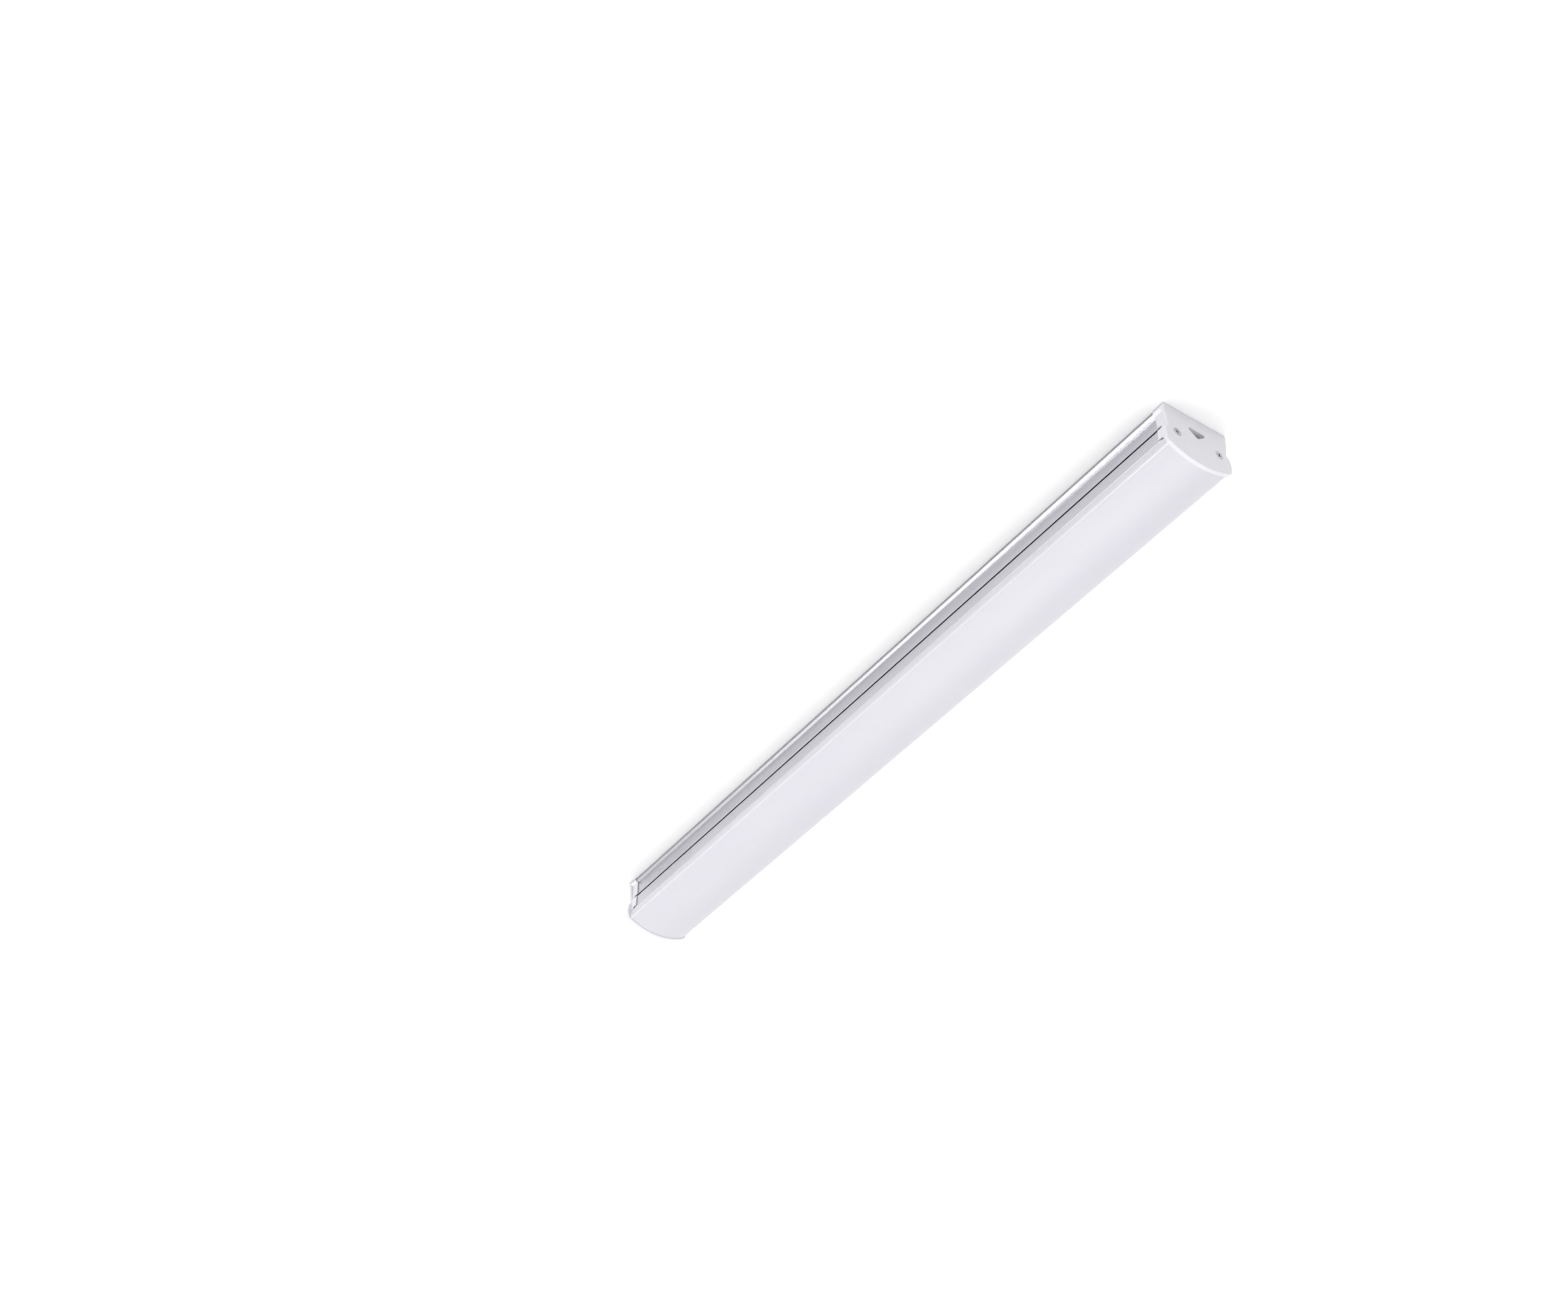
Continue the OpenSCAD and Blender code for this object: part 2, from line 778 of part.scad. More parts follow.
housing_extrusion();
opal_cover();
end_cap_near();
end_cap_far();
cap_screws_near();
cap_screws_far();
socket_insert_near();
socket_insert_far();
contact_pins_near();
contact_pins_far();
led_board();
led_packages();
thermal_tape();
wire_bushing();
driver_tray();
driver_board();
input_terminal_block();
output_terminal_block();
line_fuse();
varistor();
choke_core();
choke_windings();
film_capacitor();
bridge_rectifier();
bulk_capacitor();
transformer_core();
transformer_bobbin();
transformer_winding();
switching_transistor();
driver_chip();
output_capacitor();
output_diode();
resistors();
wire_live_in();
wire_neutral_in();
wire_earth_in();
wire_live_through();
wire_neutral_through();
wire_earth_through();
wire_led_plus();
wire_led_minus();
earth_lugs();
earth_screw();
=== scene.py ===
import json
import math

import bmesh
import bpy
from mathutils import Matrix, Vector


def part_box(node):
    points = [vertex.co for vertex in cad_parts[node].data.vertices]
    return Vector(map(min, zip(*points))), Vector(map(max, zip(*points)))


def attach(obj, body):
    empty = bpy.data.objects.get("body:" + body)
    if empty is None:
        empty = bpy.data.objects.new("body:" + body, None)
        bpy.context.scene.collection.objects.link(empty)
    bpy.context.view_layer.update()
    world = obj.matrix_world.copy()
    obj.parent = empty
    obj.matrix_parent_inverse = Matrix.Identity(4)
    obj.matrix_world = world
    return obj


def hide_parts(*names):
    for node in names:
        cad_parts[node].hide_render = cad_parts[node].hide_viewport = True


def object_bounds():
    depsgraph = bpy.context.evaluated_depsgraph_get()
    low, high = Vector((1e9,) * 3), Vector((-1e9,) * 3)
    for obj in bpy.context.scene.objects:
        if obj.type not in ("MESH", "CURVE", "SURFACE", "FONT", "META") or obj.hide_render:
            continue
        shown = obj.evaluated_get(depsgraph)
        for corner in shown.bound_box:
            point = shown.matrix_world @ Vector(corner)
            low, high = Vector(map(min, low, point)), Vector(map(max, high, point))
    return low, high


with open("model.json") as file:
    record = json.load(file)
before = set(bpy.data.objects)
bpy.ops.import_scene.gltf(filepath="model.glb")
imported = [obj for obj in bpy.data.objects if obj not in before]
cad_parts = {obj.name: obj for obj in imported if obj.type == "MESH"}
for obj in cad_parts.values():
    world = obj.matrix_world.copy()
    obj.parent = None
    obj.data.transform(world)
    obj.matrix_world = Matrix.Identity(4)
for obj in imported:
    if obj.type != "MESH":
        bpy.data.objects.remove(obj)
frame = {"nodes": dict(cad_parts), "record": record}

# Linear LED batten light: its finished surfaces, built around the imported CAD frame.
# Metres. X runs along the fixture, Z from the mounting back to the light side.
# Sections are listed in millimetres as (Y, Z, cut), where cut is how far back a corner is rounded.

MM = 0.001
BODY = "root"
cad_low, cad_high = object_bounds()

# How the meshes are cleaned, rounded and shaded
MERGE = 0.002 * MM                                     # points nearer than this are one point
FLAT = math.radians(0.5)                               # faces this close to flat are one face
SHARP = math.radians(35)                               # edges sharper than this are rounded
SMOOTH = math.radians(32)                              # edges blunter than this are shaded smooth
SAWN_EDGE = 0.08 * MM                                  # rounding of the housing's and cover's ends

# Places along the fixture, in metres from its middle
FACE_X = cad_high.x                                    # faces of the two end caps
BODY_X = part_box("housing_extrusion")[1].x              # ends of the housing and cover
CHEEK_X = FACE_X - 9.5 * MM                            # inner ends of the caps' cheeks
SHROUD_X = FACE_X - 9 * MM                             # inner ends of the sockets' shrouds
SCREW_HEAD_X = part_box("cap_screws_far")[1].x
SCREW_TIP_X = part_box("cap_screws_far")[0].x

# Places and sizes in the section, in millimetres
SCREW_PLACE = (16.7, 20.8)                             # Y and Z of a cap screw
BOSS_R = 2.9                                           # outside of the screw channel in the housing
CHANNEL_R = 1.35                                       # inside of the screw channel
PLATE_Z = (22.6, 24)                                   # faces of the plate that carries the LED board
WIRE_HOLE_R = 3                                        # hole for the LED wires in that plate
COVER_R = 47.93                                        # outside of the cover's crown
COVER_CENTRE = (0, -9.63)                              # Y and Z of the crown's axis
COVER_WALL = 1.5
CAP_HALF = 25                                          # half the width of a cap at its back
CAP_HEIGHT = 39
SLOT_HEIGHTS = (14.8, 25.4)                            # slots in a cheek's end, at the groove and the rim


# ---------- outlines ----------

def arc(centre, radius, start, end, steps):
    """Points of an arc in degrees, from start to end."""
    angles = [math.radians(start + (end - start) * i / steps) for i in range(steps + 1)]
    return [(centre[0] + radius * math.cos(a), centre[1] + radius * math.sin(a), 0) for a in angles]


def mirrored(right):
    """A closed outline from its right-hand points, listed from the bottom to the top."""
    return right + [(-y, z, cut) for y, z, cut in reversed(right) if y > 0]


def rectangle(low, high, cut=0.0):
    """Outline of a rectangle between two opposite corners."""
    return [(low[0], low[1], cut), (high[0], low[1], cut), (high[0], high[1], cut), (low[0], high[1], cut)]


def rounded(corners):
    """The outline as plain points, with a short curve in place of each corner that has a cut."""
    steps = 4
    most = 0.45                                        # largest share of a side that a cut takes
    points = []
    for i, (y, z, cut) in enumerate(corners):
        corner = Vector((y, z))
        if not cut:
            points.append(corner)
            continue
        before = Vector(corners[i - 1][:2]) - corner
        after = Vector(corners[(i + 1) % len(corners)][:2]) - corner
        start = corner + before.normalized() * min(cut, most * before.length)
        end = corner + after.normalized() * min(cut, most * after.length)
        for k in range(steps + 1):
            t = k / steps
            points.append((1 - t) ** 2 * start + 2 * t * (1 - t) * corner + t * t * end)
    return points


def housing_outline():
    """Outside of the extrusion, with its clip grooves and the trough above the LED plate."""
    return mirrored([
        (0, 0.5, 0.1), (0.6, 0, 0.2),
        (13, 0, 0.15), (13.1, 0.5, 0.15), (16.9, 0.5, 0.15), (17, 0, 0.15),
        (23.9, 0, 0.2), (24.2, 0.3, 0.2), (24.2, 2, 0.3), (22.2, 2.95, 0.35),
        (22.2, 12.4, 0.3), (22, 13.8, 0.4), (19.8, 13.8, 0.1), (19.8, 15.6, 0.1),
        (22.6, 15.6, 0.12), (23, 24.6, 0.25), (22.6, 25.4, 0.2), (20.9, 25.4, 0.1), (20.9, 24.9, 0.1),
        (21.6, 24.7, 0.1), (21.6, 24, 0.2)])


def driver_cavity():
    """Inside of the extrusion, with locating ribs and the two slotted screw channels."""
    y, z = SCREW_PLACE
    slot = 0.6
    boss_slot = math.degrees(math.asin(slot / BOSS_R))
    bore_slot = math.degrees(math.asin(slot / CHANNEL_R))
    plate = PLATE_Z[0]
    at_plate = math.degrees(math.asin((plate - z) / BOSS_R))
    return mirrored(
        [(0, 3.2, 0), (4, 3.2, 0.2), (4, 1.6, 0.2), (9, 1.6, 0.2), (9, 3.2, 0.2), (10.5, 3.2, 0.2),
         (10.5, 1.6, 0.2), (20.7, 1.6, 0.4), (20.7, 11.6, 0.6), (18.5, 12.8, 0.6), (18.5, 16.8, 0.6),
         (20.7, 18, 0.5), (20.7, plate, 0.3)]
        + arc(SCREW_PLACE, BOSS_R, at_plate, boss_slot - 90, 10)
        + arc(SCREW_PLACE, CHANNEL_R, bore_slot - 90, 270 - bore_slot, 20)
        + arc(SCREW_PLACE, BOSS_R, 270 - boss_slot, 180 - at_plate, 10)
        + [(0, plate, 0)])


def cover_outline():
    """Crowned opal shell with a hooked leg inside each skirt."""
    inner_r = COVER_R - COVER_WALL
    crown_half, inner_half = 22.3, 21.9                # where the crown's outer and inner arcs end
    crown_side = math.degrees(math.acos(crown_half / COVER_R))
    inner_side = math.degrees(math.acos(inner_half / inner_r))
    outer = [
        (19.5, 24, 0.1), (21.3, 24, 0.15), (21.3, 24.4, 0.15), (20.6, 24.9, 0.2), (20.6, 25.7, 0.15),
        (23.5, 25.7, 0.25), (24, 29.5, 0.8), (23.4, 32.2, 1.1)]
    inner = [(22.12, 31.2, 0.4), (22.5, 29.5, 0.6), (22, 27.2, 0.3), (19.5, 27.2, 0.3)]
    crown = arc(COVER_CENTRE, COVER_R, crown_side, 90, 28)[:-1]
    under = arc(COVER_CENTRE, inner_r, 90, inner_side, 24)[1:]
    apex = [(0, COVER_CENTRE[1] + COVER_R, 0)]
    under_apex = [(0, COVER_CENTRE[1] + inner_r, 0)]
    flip = [(-y, z, cut) for y, z, cut in reversed(outer + crown)]
    under_flip = [(-y, z, cut) for y, z, cut in reversed(under + inner)]
    return outer + crown + apex + flip + under_flip + under_apex + under + inner


def cap_outline():
    """Flat back, waist and rounded shoulders, then the crowned front."""
    front_r = 48.67
    front_half = 23.5                                  # where the front's arc ends
    front_centre = (0, CAP_HEIGHT - front_r)
    front_side = math.degrees(math.acos(front_half / front_r))
    return mirrored(
        [(24.2, 0, 0.3), (CAP_HALF, 0.8, 0.3), (24.4, 10, 3), (23.2, 17.4, 0.6), (23.7, 18.5, 0.4),
         (24.9, 19.3, 0.5)]
        + arc((7.65, 25.6), 18.4, -17, 16.5, 14)
        + [(24.83, 32.19, 1.2)]
        + arc(front_centre, front_r, front_side, 90, 28)[:-1]
        + [(0, CAP_HEIGHT, 0)])


def cheek_skin():
    """A cheek's section: a thin skin that follows the housing's ledge, side and groove."""
    gap = 0.1                                          # between the cheek and the housing
    inner = [(24.2, 0.4, 0), (24.2, 2, 0.3), (22.2, 2.95, 0.35), (22.2, 12.4, 0.2), (21.8, 14, 0.3),
             (22.6, 15.6, 0.3), (23, 24.6, 0.25), (22.6, 25.4, 0)]
    outer = [(24.25, 0.15, 0), (CAP_HALF, 0.8, 0.3), (24.85, 2.8, 0.4), (23, 3.7, 0.5),
             (23, 12.4, 0.3), (22.6, 14, 0.5), (23.35, 15.6, 0.5), (23.15, 17.2, 0.4),
             (23.5, 18.4, 0.3), (23.8, 24.6, 0.3), (23.4, 25.4, 0)]
    return outer + [(y + gap, z, cut) for y, z, cut in reversed(inner)]


def socket_outline(grow=0.0):
    """Rounded triangle of the mains socket, with its point towards the light side."""
    half_base, base_z, point_z = 5, 11.6, 15.4
    radius = 1.4 + grow
    side = math.degrees(math.atan2(half_base, point_z - base_z))  # where a sloping side faces
    return (arc((-half_base, base_z), radius, 180 - side, 270, 8)
            + arc((half_base, base_z), radius, -90, side, 8)
            + arc((0, point_z), radius, side, 180 - side, 8))


# ---------- solids ----------

def add(name, data):
    """A new object in the scene."""
    piece = bpy.data.objects.new(name, data)
    bpy.context.scene.collection.objects.link(piece)
    return piece


def finished_mesh(piece):
    """The object's mesh with its modifiers applied."""
    graph = bpy.context.evaluated_depsgraph_get()
    return bpy.data.meshes.new_from_object(piece.evaluated_get(graph))


def extrusion(name, outlines, from_x, to_x, edge=0.0):
    """A solid along X. The first outline is its outside, the others are holes, and edge rounds its ends."""
    curve = bpy.data.curves.new(name, "CURVE")
    curve.dimensions = "2D"
    curve.fill_mode = "BOTH"
    curve.extrude = (to_x - from_x) / 2 - edge
    curve.bevel_depth = edge
    curve.bevel_resolution = 3
    curve.offset = -edge
    for outline in outlines:
        points = rounded(outline)
        spline = curve.splines.new("POLY")
        spline.points.add(len(points) - 1)
        spline.use_cyclic_u = True
        for point, (y, z) in zip(spline.points, points):
            point.co = (y * MM, z * MM, 0, 1)
    holder = add(name, curve)
    bpy.context.view_layer.update()
    mesh = finished_mesh(holder)
    bpy.data.objects.remove(holder)
    along_x = Matrix(((0, 0, 1, (from_x + to_x) / 2), (1, 0, 0, 0), (0, 1, 0, 0), (0, 0, 0, 1)))
    mesh.transform(along_x)
    weld_mesh(mesh)
    return add(name, mesh)


def fins(work):
    """Faces that lie back to back on the same points."""
    shared = {}
    for face in work.faces:
        shared.setdefault(frozenset(face.verts), []).append(face)
    return [face for group in shared.values() if len(group) > 1 for face in group]


def weld_mesh(mesh):
    """Joins touching points, drops slivers and folded faces, and closes the gaps that they leave."""
    work = bmesh.new()
    work.from_mesh(mesh)
    bmesh.ops.remove_doubles(work, verts=work.verts, dist=MERGE)
    bmesh.ops.dissolve_degenerate(work, dist=MERGE, edges=work.edges)
    bmesh.ops.delete(work, geom=fins(work), context="FACES")
    bmesh.ops.holes_fill(work, edges=[e for e in work.edges if e.is_boundary])
    bmesh.ops.recalc_face_normals(work, faces=work.faces)
    work.to_mesh(mesh)
    work.free()


def lathe(name, profile, centre, steps=48, wobble=None):
    """A solid of revolution about a line along X, at the centre's Y and Z in millimetres.

    The profile is (X, radius) in metres, from pole to pole. Wobble gives an offset of the radius at
    each X and angle.
    """
    work = bmesh.new()
    rings = []
    for x, radius in profile:
        if radius == 0:
            rings.append([work.verts.new((x, centre[0] * MM, centre[1] * MM))])
            continue
        ring = []
        for i in range(steps):
            angle = 2 * math.pi * i / steps
            r = radius + (wobble(x, angle) if wobble else 0)
            y = centre[0] * MM + r * math.cos(angle)
            z = centre[1] * MM + r * math.sin(angle)
            ring.append(work.verts.new((x, y, z)))
        rings.append(ring)
    for near, far in zip(rings, rings[1:]):
        for i in range(steps):
            j = (i + 1) % steps
            corners = [near[i % len(near)], near[j % len(near)], far[j % len(far)], far[i % len(far)]]
            work.faces.new(list(dict.fromkeys(corners)))
    bmesh.ops.recalc_face_normals(work, faces=work.faces)
    mesh = bpy.data.meshes.new(name)
    work.to_mesh(mesh)
    work.free()
    return add(name, mesh)


def in_metres(start_x, profile):
    """A lathe's profile, from one in millimetres that is measured from start_x."""
    return [(start_x + x * MM, radius * MM) for x, radius in profile]


def cylinder(name, radius, reach, turned_about, centre, steps=48):
    """A cylinder to cut with, about a centre in metres: its radius and reach are in millimetres.

    It lies along Z if it is turned about Y, and along Y if it is turned about Z.
    """
    profile = [(-reach, 0), (-reach, radius), (reach, radius), (reach, 0)]
    tool = lathe(name, in_metres(0, profile), (0, 0), steps)
    tool.data.transform(Matrix.Rotation(math.radians(90), 4, turned_about))
    tool.data.transform(Matrix.Translation(centre))
    return tool


def joined_mesh(name, meshes):
    """One mesh of several that don't touch."""
    work = bmesh.new()
    for mesh in meshes:
        work.from_mesh(mesh)
    mesh = bpy.data.meshes.new(name)
    work.to_mesh(mesh)
    work.free()
    return mesh


def combine(piece, others, operation):
    """Cuts the others from the piece, or joins them to it, and deletes them."""
    for other in others:
        step = piece.modifiers.new(operation, "BOOLEAN")
        step.operation = operation
        step.solver = "EXACT"
        step.object = other
    bpy.context.view_layer.update()
    mesh = finished_mesh(piece)
    piece.modifiers.clear()
    piece.data = mesh
    for other in others:
        bpy.data.objects.remove(other)


def ease_edges(mesh, width):
    """Rounds the sharp edges, after merging the flat faces between them."""
    work = bmesh.new()
    work.from_mesh(mesh)
    bmesh.ops.remove_doubles(work, verts=work.verts, dist=MERGE)
    bmesh.ops.dissolve_limit(work, angle_limit=FLAT, verts=work.verts, edges=work.edges)
    sharp = [e for e in work.edges if e.is_manifold and e.calc_face_angle(0) > SHARP]
    bmesh.ops.bevel(work, geom=sharp, offset=width, segments=2, profile=0.5, affect="EDGES",
                    clamp_overlap=True)
    bmesh.ops.recalc_face_normals(work, faces=work.faces)
    work.to_mesh(mesh)
    work.free()


def shade(mesh):
    """Smooth shading, except across sharp edges."""
    mesh.shade_smooth()
    mesh.set_sharp_from_angle(angle=SMOOTH)


# ---------- materials ----------

class Surface:
    """A material whose colour, roughness and relief come from procedural patterns."""

    def __init__(self, name, colour, roughness, **constants):
        self.material = bpy.data.materials.new(name)
        self.material.use_nodes = True
        self.tree = self.material.node_tree
        self.shader = self.tree.nodes["Principled BSDF"]
        self.shader.inputs["Base Color"].default_value = (*colour, 1)
        self.shader.inputs["Roughness"].default_value = roughness
        for socket, value in constants.items():
            self.shader.inputs[socket.replace("_", " ")].default_value = value
        self.colour = None
        self.first_colour = colour
        self.normal = None
        self.place = self.node("ShaderNodeTexCoord").outputs["Object"]

    def node(self, kind, **settings):
        made = self.tree.nodes.new(kind)
        for key, value in settings.items():
            setattr(made, key, value)
        return made

    def link(self, source, target):
        self.tree.links.new(source, target)

    def stretched(self, stretch):
        """Object coordinates in metres times the pattern's cycles per metre on each axis."""
        scaling = self.node("ShaderNodeVectorMath", operation="MULTIPLY")
        self.link(self.place, scaling.inputs[0])
        scaling.inputs[1].default_value = stretch
        return scaling.outputs[0]

    def noise(self, stretch, detail=4, roughness=0.55):
        pattern = self.node("ShaderNodeTexNoise")
        pattern.inputs["Scale"].default_value = 1
        pattern.inputs["Detail"].default_value = detail
        pattern.inputs["Roughness"].default_value = roughness
        self.link(self.stretched(stretch), pattern.inputs["Vector"])
        return pattern.outputs["Fac"]

    def bands(self, stretch, axis="X"):
        pattern = self.node("ShaderNodeTexWave", wave_type="BANDS", bands_direction=axis)
        pattern.inputs["Scale"].default_value = 1
        self.link(self.stretched(stretch), pattern.inputs["Vector"])
        return pattern.outputs["Fac"]

    def crevice_shade(self, reach=1.2 * MM):
        """High where other surfaces lie within reach, as in grooves and joints. It marks where shade is
        painted in.
        """
        shelter = self.node("ShaderNodeAmbientOcclusion", samples=8, only_local=False)
        shelter.inputs["Distance"].default_value = reach
        return self.spread(shelter.outputs["AO"], 0, 1, 1, 0)

    def coordinate(self, axis):
        """Distance along an axis from the frame's origin, in metres."""
        split = self.node("ShaderNodeSeparateXYZ")
        self.link(self.place, split.inputs[0])
        return split.outputs[axis]

    def math(self, operation, *values):
        step = self.node("ShaderNodeMath", operation=operation)
        for value, socket in zip(values, step.inputs):
            if isinstance(value, (int, float)):
                socket.default_value = value
            else:
                self.link(value, socket)
        return step.outputs[0]

    def near(self, coordinate, centre, reach, fade=0.1 * MM):
        """High where the coordinate is within reach of the centre."""
        distance = self.math("ABSOLUTE", self.math("SUBTRACT", coordinate, centre))
        return self.spread(distance, reach, reach - fade)

    def within(self, *ranges):
        """High where each listed coordinate, on either side, lies between its limits in millimetres."""
        inside = None
        for axis, low, high in ranges:
            side = self.math("ABSOLUTE", self.coordinate(axis))
            part = self.near(side, (low + high) / 2 * MM, (high - low) / 2 * MM)
            inside = self.math("MINIMUM", inside, part) if inside else part
        return inside

    def edges(self):
        """High where the surface is convex, as at worn edges."""
        return self.node("ShaderNodeNewGeometry").outputs["Pointiness"]

    def spread(self, pattern, low, high, to_low=0.0, to_high=1.0):
        mapping = self.node("ShaderNodeMapRange")
        self.link(pattern, mapping.inputs["Value"])
        mapping.inputs["From Min"].default_value = low
        mapping.inputs["From Max"].default_value = high
        mapping.inputs["To Min"].default_value = to_low
        mapping.inputs["To Max"].default_value = to_high
        return mapping.outputs["Result"]

    def tint(self, pattern, colour, amount=1.0, low=0.35, high=0.65):
        """Blends the colour in where the pattern is high."""
        blend = self.node("ShaderNodeMix", data_type="RGBA")
        self.link(self.spread(pattern, low, high, 0, amount), blend.inputs["Factor"])
        if self.colour:
            self.link(self.colour, blend.inputs["A"])
        else:
            blend.inputs["A"].default_value = (*self.first_colour, 1)
        blend.inputs["B"].default_value = (*colour, 1)
        self.colour = blend.outputs["Result"]
        self.link(self.colour, self.shader.inputs["Base Color"])

    def vary_roughness(self, pattern, low, high):
        self.link(self.spread(pattern, 0.3, 0.7, low, high), self.shader.inputs["Roughness"])

    def polish(self, pattern, roughness):
        """Gives the surface this roughness where the pattern is high. vary_roughness comes first."""
        socket = self.shader.inputs["Roughness"]
        blend = self.node("ShaderNodeMix", data_type="FLOAT")
        self.link(pattern, blend.inputs["Factor"])
        self.link(socket.links[0].from_socket, blend.inputs["A"])
        blend.inputs["B"].default_value = roughness
        self.link(blend.outputs["Result"], socket)

    def relief(self, pattern, height, strength=1.0):
        """Raises the surface by up to height, in metres, where the pattern is high."""
        bump = self.node("ShaderNodeBump")
        bump.inputs["Strength"].default_value = strength
        bump.inputs["Distance"].default_value = height
        self.link(pattern, bump.inputs["Height"])
        if self.normal:
            self.link(self.normal, bump.inputs["Normal"])
        self.normal = bump.outputs["Normal"]
        self.link(self.normal, self.shader.inputs["Normal"])


def anodised_aluminium():
    """Extruded metal: a painted highlight paler on its ledge, painted shade darker below it, black painted
    shade in the clip grooves and slots, and painted shade in its hollows.
    """
    s = Surface("anodised_aluminium", (0.56, 0.555, 0.595), 0.33, Metallic=1.0)
    # Black for the painted shade in the clip grooves and behind the slots in the caps' cheeks.
    black = (0.015, 0.015, 0.02)
    die_lines = s.noise((1.2, 900, 900), detail=5, roughness=0.65)
    fine_lines = s.noise((6, 5200, 5200), detail=3)
    clouds = s.noise((9, 60, 60), detail=3)
    painted_ledge_highlight = s.within(("Z", 2.1, 2.9), ("Y", 22.3, 24.3))
    painted_groove_shade = s.within(("Z", 13.3, 15.8), ("Y", 0, 22.35))
    height = s.coordinate("Z")
    s.tint(die_lines, (0.50, 0.50, 0.54), 0.55)
    s.tint(clouds, (0.62, 0.61, 0.64), 0.35)
    s.tint(s.edges(), (0.82, 0.82, 0.85), 0.5, 0.53, 0.62)
    # Painted shade: darker below about 2 mm, on the flange's outer face beside the floor.
    s.tint(height, (0.34, 0.34, 0.37), 0.8, 2.1 * MM, 1.4 * MM)
    # Painted highlight: paler along the top of the ledge.
    s.tint(painted_ledge_highlight, (0.80, 0.80, 0.83), 0.9, 0.2, 0.9)
    # Painted shade: the clip grooves are coloured black.
    s.tint(painted_groove_shade, black, 0.98, 0.4, 0.6)
    # Painted shade: black on the housing where it runs in under the caps' cheeks, behind their slots.
    for low, high in ((13.6, 16.2), (23.4, 25.4)):
        painted_slot_shade = s.within(("X", 292.2, 294.6), ("Y", 21.9, 23.2), ("Z", low, high))
        s.tint(painted_slot_shade, black, 0.98, 0.2, 0.8)
    # Painted shade: near-black wherever other surfaces lie close, as in grooves and joints.
    s.tint(s.crevice_shade(), (0.02, 0.02, 0.026), 0.95, 0.55, 0.8)
    s.vary_roughness(fine_lines, 0.26, 0.42)
    s.relief(die_lines, 0.012 * MM)
    s.relief(fine_lines, 0.006 * MM)
    return s.material


def opal_plastic():
    """Faintly cloudy diffuser with a glossier line along each corner, also painted paler as a highlight."""
    s = Surface("opal_plastic", (0.637, 0.627, 0.677), 0.34, IOR=1.46, Subsurface_Weight=0.25,
                Subsurface_Radius=(0.004, 0.004, 0.005), Subsurface_Scale=0.6)
    clouds = s.noise((14, 45, 45), detail=2)
    flow = s.noise((2.5, 260, 260), detail=4)
    grain = s.noise((2600, 2600, 2600), detail=2)
    # Each corner: this mask makes it glossier and paints a highlight on it.
    corner = s.within(("Z", 31.2, 32.5), ("Y", 22.9, 24))
    s.tint(clouds, (0.661, 0.651, 0.69), 0.6)
    s.tint(flow, (0.627, 0.618, 0.661), 0.3)
    # Painted highlight along each corner.
    s.tint(corner, (0.9, 0.9, 0.92), 0.4, 0.2, 0.9)
    s.vary_roughness(flow, 0.28, 0.38)
    s.polish(corner, 0.14)
    s.relief(flow, 0.008 * MM)
    s.relief(grain, 0.004 * MM)
    return s.material


def white_plastic():
    """Spark-textured cap plastic, with a painted highlight where it carries the housing's ledge on, and
    painted shade in its hollows.
    """
    s = Surface("white_plastic", (0.75, 0.745, 0.78), 0.45, IOR=1.46)
    spark = s.noise((2400, 2400, 2400), detail=3)
    clouds = s.noise((70, 70, 70), detail=2)
    # Painted highlight: carries the housing's ledge highlight on over each cheek.
    ledge = s.within(("X", 0, 296.9), ("Z", 2.6, 3.8), ("Y", 22.9, 25.1))
    s.tint(clouds, (0.73, 0.725, 0.76), 0.6)
    s.tint(s.edges(), (0.81, 0.81, 0.83), 0.4, 0.52, 0.6)
    s.tint(ledge, (0.97, 0.97, 0.97), 1.0, 0.2, 0.9)
    # Painted shade: grey wherever other surfaces lie close.
    s.tint(s.crevice_shade(), (0.25, 0.25, 0.27), 0.85, 0.5, 0.8)
    s.vary_roughness(clouds, 0.4, 0.52)
    s.relief(spark, 0.012 * MM)
    return s.material


def metal(name, colour, dark, roughness):
    """Plated or ground metal with fine scratches, duller patches and painted shade in its recesses."""
    s = Surface(name, colour, roughness, Metallic=1.0)
    scratches = s.noise((900, 7000, 7000), detail=4, roughness=0.7)
    patches = s.noise((400, 400, 400), detail=3)
    # Colour of the painted shade in recesses.
    recess = tuple(c * 0.06 for c in colour)
    s.tint(patches, dark, 0.6)
    s.tint(s.edges(), (0.92, 0.91, 0.9), 0.4, 0.53, 0.62)
    # Painted shade wherever other surfaces lie close.
    s.tint(s.crevice_shade(), recess, 0.95, 0.45, 0.75)
    s.vary_roughness(scratches, roughness * 0.75, roughness * 1.3)
    s.relief(scratches, 0.004 * MM)
    return s.material


def moulded(name, colour, roughness, grain=1800, depth=0.01, **constants):
    """Moulded plastic, rubber or resin with a fine grain, depth in millimetres, and rubbed edges."""
    s = Surface(name, colour, roughness, **constants)
    texture = s.noise((grain, grain, grain), detail=3)
    patches = s.noise((130, 130, 130), detail=3)
    darker = tuple(c * 0.86 for c in colour)
    lighter = tuple(min(1, c * 1.35 + 0.01) for c in colour)
    s.tint(patches, darker, 0.7)
    s.tint(s.edges(), lighter, 0.6, 0.53, 0.62)
    s.vary_roughness(patches, roughness * 0.85, min(1, roughness * 1.15))
    s.relief(texture, depth * MM)
    return s.material


def board_white():
    """White solder mask over raised tracks."""
    s = Surface("board_white", (0.86, 0.86, 0.84), 0.38, IOR=1.5)
    tracks = s.bands((40, 120, 1), "Y")
    orange_peel = s.noise((1500, 1500, 1500), detail=2)
    s.tint(tracks, (0.80, 0.81, 0.79), 0.7, 0.7, 0.8)
    s.relief(tracks, 0.03 * MM, 0.6)
    s.relief(orange_peel, 0.006 * MM)
    s.vary_roughness(orange_peel, 0.32, 0.45)
    return s.material


